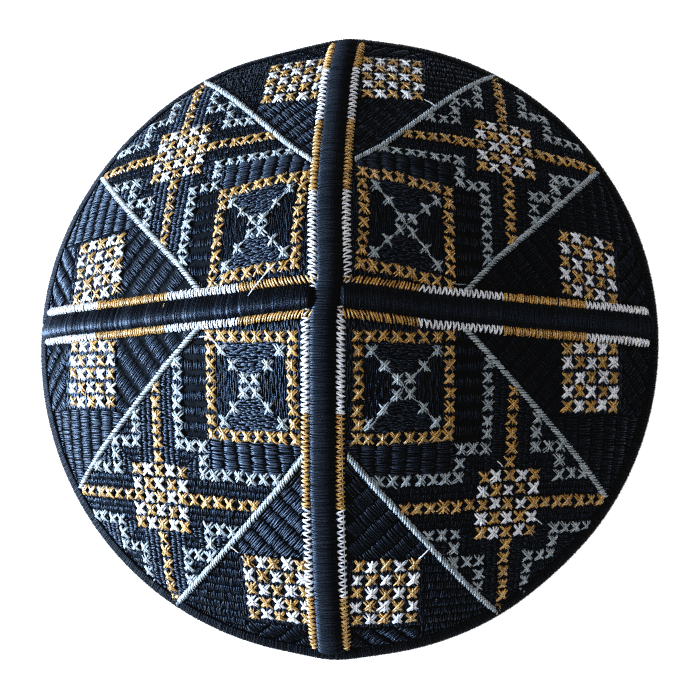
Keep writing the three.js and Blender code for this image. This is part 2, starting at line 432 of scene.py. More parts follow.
def sew_grey_lines(gore, work):
    first, last = (np.array(end) for end in GREY_LINE)
    length = np.linalg.norm(last - first)
    ahead = (last - first) / length
    beside = np.array([-ahead[1], ahead[0]])
    for mirrored in (False, True):
        place = shaken(np.arange(0, length, GREY_PITCH), GREY_PLACE_SPREAD)
        half = GREY_HALF * chance.normal(1, GREY_SIZE_SPREAD, (len(place), 1))
        lean = GREY_LEAN * chance.normal(1, GREY_SIZE_SPREAD, (len(place), 1))
        middle = first + place[:, None] * ahead
        start = middle + beside * half - ahead * lean
        end = middle - beside * half + ahead * lean
        i, j = stitch_places(start, end, SATIN_SHARES)
        along, heading = by_chart(gore, j, i) if mirrored else by_chart(gore, i, j)
        top = chance.normal(GREY_TOP, GREY_TOP_SPREAD, (len(place), 1))
        made = satin(along, heading, top, GREY_LOW, GREY_THREAD_HALF)
        work.add(made, chance.uniform(0, 1, len(place)), GREY)


# Lines beside the seams: distance from the top of each change of thread and of the end
SEAM_BLOCKS = {
    "e": (25.0, 48.8, 75.4, 98.4),
    "w": (25.0, 48.9, 75.4, 99.0),
    "n": (32.6, 60.2, 83.4, 98.8),
    "s": (29.8, 55.8, 81.3, 99.0),
}
SEAM_THREADS = {"e": (GOLD, WHITE), "w": (GOLD, WHITE), "n": (WHITE, GOLD), "s": (WHITE, GOLD)}
SEAM_LINE_START = 4.6
SEAM_LINE_OFFSET = 4.5
SEAM_LINE_HALF = 1.38
SEAM_LINE_TOP, SEAM_LINE_TOP_SPREAD, SEAM_LINE_LOW = 1.0, 0.05, 0.1
SEAM_LINE_TIP = {"e": 1.2, "w": 2.5, "n": 2.5, "s": 2.5}  # where a line narrows at the rim
TIP_REACH, TIP_LEAST = 0.3, 0.1  # length past the line's end, least share of the width
SEAM_LINE_RAGGED = {"e": 0.1, "w": 0.08, "n": 0.06, "s": 0.06}  # unevenness of its width
SEAM_LINE_JITTER = {"e": 0.12, "w": 0.08, "n": 0.06, "s": 0.06}  # of its stitches' ends
# Half width of the gold and of the white thread
SEAM_THREAD_HALF = {"e": (0.29, 0.25), "w": (0.25, 0.21), "n": (0.28, 0.26), "s": (0.27, 0.27)}
SATIN_PITCH = (0.81, 0.635)  # east and west lines: at the crown, at the rim
ZIGZAG_PITCH = {"n": (0.72, 0.95), "s": (0.66, 0.92)}  # gold and white
ZIGZAG_FIRST = {"n": 0.82, "s": 0.72}  # share of that pitch next to the crown
ZIGZAG_LEAN = {"n": 0.8, "s": 1.0}  # in pitches
SATIN_TEETH = {"e": (0.1, 0.5), "w": (0.1, 0.25)}  # lean to and fro, gold and white
MITRE_LEAN, LEVEL_LEAN = 2.7, 0.3  # lean at the crown, and away from it
MITRE_REACH = 30  # length over which one becomes the other
# Seams of each gore, and its side of them, anticlockwise positive
GORE_SEAMS = {
    "ne": (("e", 1), ("n", -1)),
    "nw": (("w", -1), ("n", 1)),
    "sw": (("w", 1), ("s", -1)),
    "se": (("e", -1), ("s", 1)),
}

# Sideways wander of each seam, anticlockwise, at some distances from the top
DRIFT_PLACES = (6, 28, 52, 79, 99)
DRIFTS = {
    "e": (0.6, -1.0, -0.8, -0.2, 0.5),
    "w": (-0.55, 0.7, 0.6, 0.4, -0.25),
    "n": (-0.95, 0.55, 1.0, 1.0, -0.1),
    "s": (-0.6, -0.75, -1.25, -1.1, -0.6),
}


def drift(seam, along):
    return np.interp(along, DRIFT_PLACES, DRIFTS[seam])


def line_places(seam, blocks):
    """Middles of a line's stitches, and how far each leans along the seam."""
    if seam in "ns":
        edges = (SEAM_LINE_START, *blocks)
        pitches = [ZIGZAG_PITCH[seam][SEAM_THREADS[seam][k % 2]] for k in range(len(blocks))]
        pitches[0] *= ZIGZAG_FIRST[seam]
        runs = [np.arange(*edge, pitch) for *edge, pitch in zip(edges, edges[1:], pitches)]
        place = np.concatenate(runs)
        pitch = ZIGZAG_LEAN[seam] * np.repeat(pitches, [len(run) for run in runs])
        lean = np.where(np.arange(len(place)) % 2, pitch, -pitch)
    else:
        count = int((blocks[-1] - SEAM_LINE_START) / np.mean(SATIN_PITCH))
        place = SEAM_LINE_START + np.cumsum(np.linspace(*SATIN_PITCH, count))
        white = np.searchsorted(blocks[:-1], place) % 2
        teeth = np.array(SATIN_TEETH[seam])[white]
        lean = LEVEL_LEAN + np.where(np.arange(count) % 2, teeth, -teeth)
    mitre = np.clip(1 - (place - SEAM_LINE_START) / MITRE_REACH, 0, 1)
    return place, lean + MITRE_LEAN * mitre


def sew_seam_lines(gore, work):
    for seam, side in GORE_SEAMS[gore]:
        blocks = SEAM_BLOCKS[seam]
        place, lean = line_places(seam, blocks)
        count = len(place)
        to_end = (blocks[-1] + TIP_REACH - place) / SEAM_LINE_TIP[seam]
        taper = np.sqrt(np.clip(to_end, TIP_LEAST, 1))
        half = SEAM_LINE_HALF * chance.normal(1, SEAM_LINE_RAGGED[seam], count) * taper
        ends = SEAM_LINE_OFFSET + np.stack([-half, half], 1)
        along = np.stack([place - lean / 2, place + lean / 2], 1)
        along = shaken(along, SEAM_LINE_JITTER[seam])
        offset = side * (ends[:, :1] + (ends[:, 1:] - ends[:, :1]) * SATIN_SHARES)
        along = along[:, :1] + (along[:, 1:] - along[:, :1]) * SATIN_SHARES
        heading = by_seam(seam, along, offset + drift(seam, along))
        top = chance.normal(SEAM_LINE_TOP, SEAM_LINE_TOP_SPREAD, (count, 1))
        block = np.searchsorted(blocks[:-1], place)
        for which, thread in enumerate(SEAM_THREADS[seam]):
            pick = block % 2 == which
            thread_half = SEAM_THREAD_HALF[seam][thread]
            made = satin(along[pick], heading[pick], top[pick], SEAM_LINE_LOW, thread_half)
            work.add(made, chance.uniform(0, 1, pick.sum()), thread)


# Thread carried from one grey cross to the next, in cells from the first one's middle
CARRY_FROM, CARRY_TO = 0.3, 0.72
CARRY_END_SPREAD = 0.05  # cells
CARRY_TOP, CARRY_LOW, CARRY_HALF = 0.2, -0.1, 0.15
CARRY_TONE = 0.6  # lightest tone of a carried thread
CARRY_SHARE = {"ne": 0.8, "nw": 0.7, "sw": 0.35, "se": 0.9}  # crosses joined so


def sew_carried(gore, work):
    """Grey threads along the diagonals of the square."""
    steps_out = np.arange(1, SQUARE - 1, dtype=float)
    first = np.stack([steps_out, steps_out], 1)
    last = np.stack([steps_out, SQUARE - steps_out], 1)
    begin = np.concatenate([first + CARRY_FROM, last + (CARRY_FROM, -CARRY_FROM)])
    end = np.concatenate([first + CARRY_TO, last + (CARRY_TO, -CARRY_TO)])
    joined = chance.uniform(0, 1, len(begin)) < CARRY_SHARE[gore]
    begin = shaken(begin[joined], CARRY_END_SPREAD)
    end = shaken(end[joined], CARRY_END_SPREAD)
    along, heading = by_chart(gore, *stitch_places(begin, end, SATIN_SHARES))
    made = satin(along, heading, CARRY_TOP, CARRY_LOW, CARRY_HALF)
    work.add(made, chance.uniform(0, CARRY_TONE, len(begin)), GREY)


# Loose thread ends: gore, thread, half width, height over the cloth, places in cells
LOOSE = [
    ("se", WHITE, 0.15, 0.7, ((5.3, 15.55), (5.6, 15.3), (6.1, 14.8))),
    ("se", WHITE, 0.18, 0.8, ((10.85, 8.85), (11.1, 9.05), (11.4, 9.35))),
    ("se", WHITE, 0.16, 0.7, ((14.1, 13.05), (14.5, 13.35), (14.9, 13.65))),
    ("ne", WHITE, 0.12, 0.7, ((5.4, 15.6), (5.95, 15.35), (6.3, 15.05), (6.5, 14.8))),
    ("ne", GREY, 0.14, 0.6, ((7.2, 0.1), (7.7, 0.1), (8.3, 0.15))),
    ("sw", WHITE, 0.16, 0.7, ((5.65, 15.45), (6.0, 15.2), (6.4, 14.9))),
    ("sw", WHITE, 0.15, 0.9, ((7.95, 0.15), (7.25, 0.08), (6.65, 0.3), (6.1, 0.8))),
    ("sw", WHITE, 0.26, 1.0, ((24.7, -0.95), (24.7, -0.8), (24.7, -0.62))),
    ("sw", WHITE, 0.26, 1.0, ((24.68, -0.42), (24.67, -0.25), (24.65, -0.1))),
    ("nw", WHITE, 0.14, 1.5, ((3.7, -1.85), (2.45, -0.7), (1.3, 0.25))),
    ("nw", GOLD, 0.13, 1.5, ((11.2, -1.75), (11.22, -1.6), (11.18, -1.35), (11.05, -1.15))),
]
LOOSE_TAPER = np.array([0, 0.9, 1, 1, 1, 1, 1, 0.9, 0])
LOOSE_SHARES = np.linspace(0, 1, len(LOOSE_TAPER))
LOOSE_TONE = 0.4


def sew_loose(gore, work):
    for where, thread, half_width, top, places in LOOSE:
        if where != gore:
            continue
        knots = np.linspace(0, 1, len(places))
        i, j = (np.interp(LOOSE_SHARES, knots, side) for side in zip(*places))
        points, normals = on_cap(*by_chart(gore, i, j), top)
        half = half_width * LOOSE_TAPER
        made = strands(points[None], normals[None], half, half, CROSS_SIDES)
        work.add(made, np.array([LOOSE_TONE]), thread)


# Ground stitches

FILL_SHARES = np.array([0, 0.14, 0.37, 0.63, 0.86, 1])
FILL_RISE = 1 - (2 * FILL_SHARES - 1) ** 2
FILL_TAPER = np.array([0, 0.9, 1, 1, 0.9, 0])
FILL_SIDES = 3
FILL_LOW = -0.14
FILL_FLATNESS = 0.6  # height of a ground thread as a share of its width
# Standard deviations of the ground threads
FILL_PLACE_SPREAD, BRICK_PLACE_SPREAD, FILL_END_SPREAD = 0.02, 0.06, 0.05  # cells
FILL_LIFT_SPREAD, FILL_WIDTH_SPREAD, FILL_ROLL = 0.03, 0.12, 0.15
CLIP_SAMPLES = 13  # places along a stitch that are tried against its zone
FEWEST_SAMPLES = 4  # of them inside the zone, for the stitch to be sewn
CLOTH_FACE = -0.35  # outer face of the cloth under the stitches
CROSS_CLEAR = 0.12  # bare cloth round the middle of a cross, in cells
# Bounds of the ground zones, in cells
LINE_GAP = 8.3  # i - j on the grey line
STAR_FIELD = (15, 34)  # i + j round the star
ARM_HALF = 2  # half the width of the strips along the star's arms
STAR_EDGE_IN, STAR_EDGE_OUT = 9.6, 14.4
LADDER_PAST_SQUARE = 0.6
TRIANGLE_END = {"side": 16, "long": 15.6}
OUTER_START = {"side": 5.9, "long": 5.8}
RIM_START = {"side": 21.2, "long": 20.8}
# Zone: thread direction in degrees from the i axis; length and start of one repeat; share of
# it that a stitch covers; pitch, rise and half width of the threads; brick lay
FILLS = {
    "plain": (90, 0.62, 0, 1.28, 0.13, 0.16, 0.23, True),
    "square_level": (0, 0.6, 0, 1.28, 0.11, 0.12, 0.26, True),
    "square_upright": (90, 1.0, 0, 1.2, 0.16, 0.14, 0.17, True),
    "ladder_upright": (90, 1.12, 0.5, 0.72, 0.165, 0.28, 0.17, False),
    "ladder_level": (0, 1.16, 0.35, 1.07, 0.115, 0.25, 0.25, False),
    "arm_upright": (0, 0.5, 0, 1.0, 0.12, 0.15, 0.2, False),
    "arm_level": (90, 0.5, 0, 1.0, 0.13, 0.12, 0.16, False),
    "triangle_side": (45, 1.414, 0, 0.88, 0.15, 0.35, 0.15, False),
    "triangle_long": (45, 1.16, 0, 1.1, 0.13, 0.24, 0.28, False),
    "outer_side": (0, 1.14, 0.35, 1.0, 0.13, 0.26, 0.19, False),
    "outer_long": (90, 0.66, 0.2, 0.96, 0.16, 0.2, 0.21, False),
    "rim": (-45, 1.2, 0, 0.92, 0.14, 0.3, 0.2, False),
}
ZONES = list(FILLS)
GRID_LOW, GRID_HIGH = -2.5, 27.0  # cells that the zones reach over
BRICKS = np.array([0, 0.5, 0.25, 0.75])  # shares of a repeat by which rows are shifted
FILL_EDGE = 0.35  # ground stitches stop this far from a ridge
RIM_CLEAR = 0.02  # and this far from the rim
LEVEL_STITCH = 0.01  # a stitch that gains less than this towards the rim is level


def zone_of(i, j):
    """Number of the ground zone at each place, or -1 under a cross."""
    zones = np.full(np.shape(i), ZONES.index("plain"))

    def fill(where, name):
        zones[where] = ZONES.index(name)

    from_i, from_j = np.abs(i - STAR_MIDDLE), np.abs(j - STAR_MIDDLE)
    inside = np.abs(i - j) < LINE_GAP
    by_star = inside & (i + j > STAR_FIELD[0]) & (i + j < STAR_FIELD[1])
    fill(by_star & (from_i >= from_j), "arm_upright")
    fill(by_star & (from_i < from_j), "arm_level")
    for a, b, from_a, way in ((i, j, from_i, "upright"), (j, i, from_j, "level")):
        off_star = (b < STAR_EDGE_IN) | (b > STAR_EDGE_OUT)
        fill(inside & (from_a < ARM_HALF) & off_star, "arm_" + way)
        by_square = (a > SQUARE) & (a < STAR_EDGE_IN) & (b < SQUARE + LADDER_PAST_SQUARE)
        fill(inside & by_square, "ladder_" + way)
    half = SQUARE / 2
    in_square = np.maximum(np.abs(i - half), np.abs(j - half)) < half
    steep = np.abs(j - half) > np.abs(i - half)
    fill(in_square & steep, "square_level")
    fill(in_square & ~steep, "square_upright")
    for which, a, b in (("side", i, j), ("long", j, i)):
        beyond = a - b > LINE_GAP
        fill(beyond & (a < TRIANGLE_END[which]), "triangle_" + which)
        fill(beyond & (b > OUTER_START[which]), "outer_" + which)
        fill(beyond & (a > RIM_START[which]) & (b < OUTER_START[which]), "rim")
    for cross_i, cross_j, _ in CROSSES:
        zones[(np.abs(i - cross_i) < CROSS_CLEAR) & (np.abs(j - cross_j) < CROSS_CLEAR)] = -1
    zones[(np.minimum(i, j) < GRID_LOW) | (np.maximum(i, j) > GRID_HIGH)] = -1
    return zones


def fill_zone(name):
    """Start and end, in cells, of every stitch of one zone, clipped to the zone."""
    degrees, length, first_u, cover, pitch, _, _, bricks = FILLS[name]
    ahead = np.array([np.cos(np.radians(degrees)), np.sin(np.radians(degrees))])
    beside = np.array([-ahead[1], ahead[0]])
    corners = np.array([(a, b) for a in (GRID_LOW, GRID_HIGH) for b in (GRID_LOW, GRID_HIGH)])
    u_low, u_high = (corners @ ahead).min(), (corners @ ahead).max()
    v_low, v_high = (corners @ beside).min(), (corners @ beside).max()
    u = np.arange(np.floor(u_low / length) * length + first_u, u_high, length)
    v = np.arange(v_low, v_high, pitch)
    shift = BRICKS[np.arange(len(v)) % len(BRICKS)] * length if bricks else np.zeros(len(v))
    spread = FILL_PLACE_SPREAD + BRICK_PLACE_SPREAD * bricks
    u = u[None, :] + shift[:, None] + chance.normal(0, spread, (len(v), len(u)))
    v = np.broadcast_to(v[:, None], u.shape)
    shares = 0.5 + np.linspace(-0.5, 0.5, CLIP_SAMPLES) * cover
    start = u.ravel()[:, None] * ahead + v.ravel()[:, None] * beside
    path = start[:, None] + ahead * (length * shares)[None, :, None]
    inside = zone_of(path[..., 0], path[..., 1]) == ZONES.index(name)
    keep = inside.sum(1) >= FEWEST_SAMPLES
    path, inside = path[keep], inside[keep]
    first = inside.argmax(1)
    last = CLIP_SAMPLES - 1 - inside[:, ::-1].argmax(1)
    row = np.arange(len(path))
    return path[row, first], path[row, last]


FILL_STITCHES = {name: fill_zone(name) for name in ZONES}


def on_panel(gore, points, along):
    sign_x, sign_y = GORES[gore]
    clear_x = sign_x * points[..., 0] > LONG_RIDGE_WIDTH / 2 + FILL_EDGE
    clear_y = sign_y * points[..., 1] > SIDE_RIDGE_WIDTH / 2 + FILL_EDGE
    return clear_x & clear_y & (along < PANEL_LENGTH)


def stop_at_rim(gore, start, end):
    """End points of the stitches, moved back where they lie past the edge of the panel."""
    first, _ = by_chart(gore, *start.T)
    last, _ = by_chart(gore, *end.T)
    gain = np.where(np.abs(last - first) < LEVEL_STITCH, LEVEL_STITCH, last - first)
    share = np.clip((PANEL_LENGTH - RIM_CLEAR - first) / gain, 0, 1)[:, None]
    edge = start + (end - start) * share
    start_past, end_past = first > PANEL_LENGTH, last > PANEL_LENGTH
    return np.where(start_past[:, None], edge, start), np.where(end_past[:, None], edge, end)


def sew_ground(gore, work):
    for name, (start, end) in FILL_STITCHES.items():
        *_, rise, half_width, _ = FILLS[name]
        start, end = shaken(start, FILL_END_SPREAD), shaken(end, FILL_END_SPREAD)
        start, end = stop_at_rim(gore, start, end)
        along, heading = by_chart(gore, *stitch_places(start, end, FILL_SHARES))
        lift = chance.normal(0, FILL_LIFT_SPREAD, (len(start), 1))
        height = FILL_LOW + (rise - FILL_LOW) * FILL_RISE + lift
        points, normals = on_cap(along, heading, height)
        keep = on_panel(gore, points, along).all(1)
        points, normals = points[keep], normals[keep]
        half = half_width * chance.normal(1, FILL_WIDTH_SPREAD, (len(points), 1)) * FILL_TAPER
        roll = chance.normal(0, FILL_ROLL, len(points))
        made = strands(points, normals, half, half * FILL_FLATNESS, FILL_SIDES, roll)
        work.add(made, chance.uniform(0, 1, len(points)))


# Cloth of a gore under its stitches

CLOTH_STEPS = 56  # along and across a gore


def gore_cloth(gore):
    beside_side = SIDE_RIDGE_WIDTH / 2 + SEAM_GAP
    beside_long = LONG_RIDGE_WIDTH / 2 + SEAM_GAP
    corner_radius = np.hypot(beside_side / OVAL, beside_long) + SEAM_GAP
    first = np.interp(corner_radius, radii, steps)
    along = np.linspace(first, PANEL_LENGTH, CLOTH_STEPS)[:, None]
    radius = np.interp(along, steps, radii)
    start = np.arcsin(beside_side / (OVAL * radius))
    end = np.arccos(beside_long / radius)
    quarter = start + (end - start) * np.linspace(0, 1, CLOTH_STEPS)[None]
    sign_x, sign_y = GORES[gore]
    heading = np.arctan2(sign_y * np.sin(quarter), sign_x * np.cos(quarter))
    outer, _ = on_cap(along, heading, CLOTH_FACE)
    inner, _ = on_cap(along, heading, -CLOTH_THICKNESS)
    return wall(outer, inner)


# Thread wound over the ridges and the rim
WOUND_SIDES = 3
WOUND_FLATNESS = 0.7  # height of such a thread as a share of its width
WOUND_WIDTH_SPREAD, WOUND_LIFT_SPREAD, WOUND_ROLL = 0.1, 0.03, 0.2


def wind(points, normals, half_width, work):
    """Strands round a core, under the piece's second material."""
    count, stations, _ = points.shape
    wide = half_width * chance.normal(1, WOUND_WIDTH_SPREAD, (count, 1)) * np.ones(stations)
    roll = chance.normal(0, WOUND_ROLL, count)
    made = strands(points, normals, wide, wide * WOUND_FLATNESS, WOUND_SIDES, roll)
    work.add(made, chance.uniform(0, 1, count), 1)


# Ridges over the seams

RIDGE_SECTION = np.array([  # share of the half width, height over the cloth face
    (-1, -0.5), (-0.98, 0.2), (-0.9, 0.7), (-0.75, 1.15), (-0.53, 1.5), (-0.27, 1.7),
    (0, 1.75), (0.27, 1.7), (0.53, 1.5), (0.75, 1.15), (0.9, 0.7), (0.98, 0.2), (1, -0.5),
])
RIDGE_HEIGHTS = {"long": 0.95, "e": 1.0, "w": 1.0}  # shares of that height
RIDGE_WIDTHS = {"long": 1.0, "e": 0.86, "w": 0.86}  # of the roll, as shares of its foot
RIDGE_TILTS = {"long": 0, "e": 0, "w": -0.45}  # how much higher one flank is than the other
RIDGE_ROLL_START = 0.5  # height above which those shares hold
RIDGE_STEPS = 120
RIDGE_JOIN = 0.05  # between the long ridge and the side ridges
RIDGE_FOOT = -0.5  # height over the cloth face below which a ridge keeps to its seam
RIDGE_SWAY = 0.75  # height over which the ridge comes to follow the wander of the seam
RIDGE_THREAD_START = {"long": 0.1, "e": 0.7, "w": 0.7}  # from the ridge's first end
RIDGE_THREAD_END = 0.2  # from its last end
RIDGE_THREAD_PITCH = 0.40
RIDGE_THREAD_SPREAD, RIDGE_THREAD_LEAN = 0.03, 0.12
RIDGE_THREAD_OUT = 1.02  # place of the threads as a share of the core's width
RIDGE_UPRIGHT = 1.2  # weight of the face's normal against the side in a thread's normal
RIDGE_THREAD_HALF = 0.23
RIDGE_THREAD_LIFT = 0.06


def ridge_side(seam):
    """Direction across a ridge."""
    return np.array([1.0, 0, 0]) if seam == "long" else np.array([0, 1.0, 0])


def ridge_ends(seam):
    """Distances from the top, signed along the seam's plane."""
    first = -PANEL_LENGTH if seam == "long" else LONG_RIDGE_WIDTH / 2 + RIDGE_JOIN
    return first, PANEL_LENGTH


def ridge_drift(seam, place):
    """Sideways wander of a ridge, towards +x on the long ridge and +y on the others."""
    if seam == "long":
        north = [-wander for wander in DRIFTS["n"]]
        places = [-p for p in DRIFT_PLACES[::-1]] + list(DRIFT_PLACES)
        return np.interp(place, places, list(DRIFTS["s"][::-1]) + north)
    return drift(seam, place) * (1 if seam == "e" else -1)


def ridge_points(seam, place, share, height):
    """Points on a ridge; place is signed for the long ridge, north positive."""
    if seam == "long":
        heading = np.where(place >= 0, np.pi / 2, -np.pi / 2)
    else:
        heading = np.full(np.shape(place), np.radians(SEAM_HEADINGS[seam]))
    half = (LONG_RIDGE_WIDTH if seam == "long" else SIDE_RIDGE_WIDTH) / 2
    points, normals = on_cap(np.abs(place), heading, height)
    sway = np.clip((height - RIDGE_FOOT) / RIDGE_SWAY, 0, 1) * ridge_drift(seam, place)
    return points + ridge_side(seam) * (share * half + sway)[..., None], normals


def ridge_section(seam):
    share, height = RIDGE_SECTION.T
    tilted = height * RIDGE_HEIGHTS[seam] * (1 + RIDGE_TILTS[seam] * share)
    roll = height > RIDGE_ROLL_START
    return np.where(roll, share * RIDGE_WIDTHS[seam], share), np.where(roll, tilted, height)


def ridge_core(seam):
    place = np.linspace(*ridge_ends(seam), RIDGE_STEPS)[:, None]
    share, height = ridge_section(seam)
    outer, _ = ridge_points(seam, place, share[None] + 0 * place, height[None])
    foot = np.array([1.0, -1.0])[None] + 0 * place
    inner, _ = ridge_points(seam, place, foot, np.array(-CLOTH_THICKNESS))
    return swept(np.concatenate([outer, inner], axis=1))


def wind_ridge(seam, work):
    first, last = ridge_ends(seam)
    share, height = ridge_section(seam)
    start, end = first + RIDGE_THREAD_START[seam], last - RIDGE_THREAD_END
    place = shaken(np.arange(start, end, RIDGE_THREAD_PITCH), RIDGE_THREAD_SPREAD)
    lean = chance.normal(0, RIDGE_THREAD_LEAN, (len(place), 1))
    across = share[None] * np.ones((len(place), 1))
    spot = np.clip(place[:, None] + lean * across, first, last)
    lift = RIDGE_THREAD_LIFT + chance.normal(0, WOUND_LIFT_SPREAD, (len(place), 1))
    points, normals = ridge_points(
        seam, spot, across * RIDGE_THREAD_OUT, height[None] + lift)
    outward = unit(normals * RIDGE_UPRIGHT + ridge_side(seam) * across[..., None])
    wind(points, outward, RIDGE_THREAD_HALF, work)


# Rim

RIM_OUTER = np.array([  # distance below the upper edge, height over the cloth face
    (0, 0.1), (0.25, 0.3), (0.6, 0.45), (1.3, 0.6), (2.2, 0.68), (3.0, 0.66), (3.6, 0.6),
])
RIM_GAP = 0.05  # between the panels and the rim
RIM_STEPS = 360
RIM_THREAD_PITCH = 0.45
RIM_THREAD_HALF = 0.26
RIM_THREAD_LIFT = 0.08
RIM_THREAD_TURN = 0.0006  # unevenness of the threads' headings, in radians
RIM_HEM_DIP = 0.6  # how far the threads' normals turn down at the hem


def rim_section(heading):
    """Points of the rim's outer side from its upper edge to the table, per heading."""
    top = PANEL_LENGTH + RIM_GAP
    points, normals = on_cap(top + RIM_OUTER[:, 0], heading, RIM_OUTER[:, 1])
    hem, _ = on_cap(np.full(heading.shape, HEM_LENGTH), heading)
    return points, normals, hem


def rim_core():
    heading = np.linspace(0, 2 * np.pi, RIM_STEPS, endpoint=False)[:, None]
    points, _, hem = rim_section(heading)
    inward = np.stack([-np.cos(heading), -np.sin(heading), 0 * heading], -1)
    flat = np.array([1, 1, 0])
    on_table = [hem * flat + inward * gap for gap in (HEM_ROUND, HEM_ROUND + HEM_FLAT)]
    inner, _ = on_cap(PANEL_LENGTH + SEAM_GAP, heading, -CLOTH_THICKNESS)
    return swept(np.concatenate([points, hem, *on_table, inner], axis=1), ring=True)


def wind_rim(work):
    around = 2 * np.pi * np.interp(HEM_LENGTH, steps, radii)
    count = int(around / RIM_THREAD_PITCH)
    heading = shaken(2 * np.pi * (np.arange(count) / count)[:, None], RIM_THREAD_TURN)
    points, normals, hem = rim_section(heading)
    points = np.concatenate([points, hem], axis=1)
    at_hem = unit(normals[:, -1:] - np.array([0, 0, RIM_HEM_DIP]))
    normals = np.concatenate([normals, at_hem], axis=1)
    lift = RIM_THREAD_LIFT + chance.normal(0, WOUND_LIFT_SPREAD, (count, 1, 1))
    wind(points + normals * lift, normals, RIM_THREAD_HALF, work)


# Materials

def set_inputs(node, **values):
    """Sets inputs of a shader node, whose names are written with _ for a space."""
    for name, value in values.items():
        node.inputs[name.replace("_", " ")].default_value = value


def new_material(name, roughness, specular, tint=(1, 1, 1)):
    material = bpy.data.materials.new(name)
    material.use_nodes = True
    shader = material.node_tree.nodes["Principled BSDF"]
    set_inputs(
        shader, Roughness=roughness, Specular_IOR_Level=specular, Specular_Tint=(*tint, 1))
    return material, material.node_tree, shader


def ramp(tree, stops):
    """Colours that run from one stop to the other."""
    node = tree.nodes.new("ShaderNodeValToRGB")
    for element, (place, colour) in zip(node.color_ramp.elements, stops):
        element.position = place
        element.color = (*colour, 1)
    return node


def attribute(tree, name):
    node = tree.nodes.new("ShaderNodeAttribute")
    node.attribute_name = name
    return node


def maths(tree, operation, first, second):
    node = tree.nodes.new("ShaderNodeMath")
    node.operation = operation
    for socket, value in zip(node.inputs, (first, second)):
        if isinstance(value, (int, float)):
            socket.default_value = value
        else:
            tree.links.new(value, socket)
    return node.outputs[0]


PLIES = 2
TWIST_PITCH = 0.55  # millimetres of thread in which the plies turn once
TWIST_DEPTH, TWIST_STRENGTH = 0.02 * MM, 0.3
INNER_LIGHT = 0.8  # share of the light that spreads inside a pale thread
INNER_REACH, INNER_REACH_BY_COLOUR = 0.4 * MM, (1.0, 0.9, 0.8)
CLOTH_COLOUR, CLOTH_ROUGHNESS, CLOTH_GLOSS = (0.0105, 0.011, 0.012), 0.9, 0.04
WEAVE_SCALE, WEAVE_DEPTH, WEAVE_STRENGTH = 400, 0.1 * MM, 0.5
MOTTLE_SCALE, MOTTLE_DARK, MOTTLE_FROM, MOTTLE_TO = 400, 0.6, 0.3, 0.7


def thread_material(name, dark, light, roughness, specular, ior, tint):
    """Thread in which each strand has its own tone."""
    material, tree, shader = new_material(name, roughness, specular, tint)
    set_inputs(shader, IOR=ior)
    colour = ramp(tree, [(0, dark), (1, light)])
    tree.links.new(attribute(tree, "tone").outputs["Fac"], colour.inputs[0])
    tree.links.new(colour.outputs[0], shader.inputs["Base Color"])
    return material


def twist(material):
    """Winds the two plies of a thread round each other."""
    tree = material.node_tree
    lay = tree.nodes.new("ShaderNodeSeparateXYZ")
    tree.links.new(attribute(tree, "lay").outputs["Vector"], lay.inputs[0])
    wound = maths(tree, "DIVIDE", lay.outputs["X"], TWIST_PITCH)
    wound = maths(tree, "ADD", wound, maths(tree, "MULTIPLY", lay.outputs["Y"], PLIES))
    wave = maths(tree, "SINE", maths(tree, "MULTIPLY", wound, 2 * np.pi), 0)
    bump = tree.nodes.new("ShaderNodeBump")
    set_inputs(bump, Strength=TWIST_STRENGTH, Distance=TWIST_DEPTH)
    tree.links.new(wave, bump.inputs["Height"])
    tree.links.new(bump.outputs[0], tree.nodes["Principled BSDF"].inputs["Normal"])


def let_light_in(material):
    """Spreads light inside a pale thread, as between its fibres."""
    shader = material.node_tree.nodes["Principled BSDF"]
    set_inputs(
        shader, Subsurface_Weight=INNER_LIGHT, Subsurface_Scale=INNER_REACH,
        Subsurface_Radius=INNER_REACH_BY_COLOUR)


def cloth_material(name):
    """Plain woven black cotton: two crossed sets of fine ribs and a little mottling."""
    material, tree, shader = new_material(name, CLOTH_ROUGHNESS, CLOTH_GLOSS, BLUE_SHEEN)
    place = tree.nodes.new("ShaderNodeTexCoord")
    mottle = tree.nodes.new("ShaderNodeTexNoise")
    set_inputs(mottle, Scale=MOTTLE_SCALE)
    tree.links.new(place.outputs["Object"], mottle.inputs["Vector"])
    dark = tuple(c * MOTTLE_DARK for c in CLOTH_COLOUR)
    shade = ramp(tree, [(MOTTLE_FROM, dark), (MOTTLE_TO, CLOTH_COLOUR)])
    tree.links.new(mottle.outputs["Fac"], shade.inputs[0])
    tree.links.new(shade.outputs[0], shader.inputs["Base Color"])
    heights = []
    for direction in ("X", "Y"):
        wave = tree.nodes.new("ShaderNodeTexWave")
        wave.bands_direction = direction
        set_inputs(wave, Scale=WEAVE_SCALE)
        tree.links.new(place.outputs["Object"], wave.inputs["Vector"])
        heights.append(wave.outputs["Fac"])
    bump = tree.nodes.new("ShaderNodeBump")
    set_inputs(bump, Strength=WEAVE_STRENGTH, Distance=WEAVE_DEPTH)
    tree.links.new(maths(tree, "MULTIPLY", *heights), bump.inputs["Height"])
    tree.links.new(bump.outputs[0], shader.inputs["Normal"])
    return material


# Tints of the gloss
BLUE_SHEEN = (0.5, 0.68, 1.0)
PALE_SHEEN = (0.8, 0.92, 1.0)
ICE_SHEEN = (0.68, 0.9, 1.0)
WARM_SHEEN = (1.0, 0.97, 0.86)
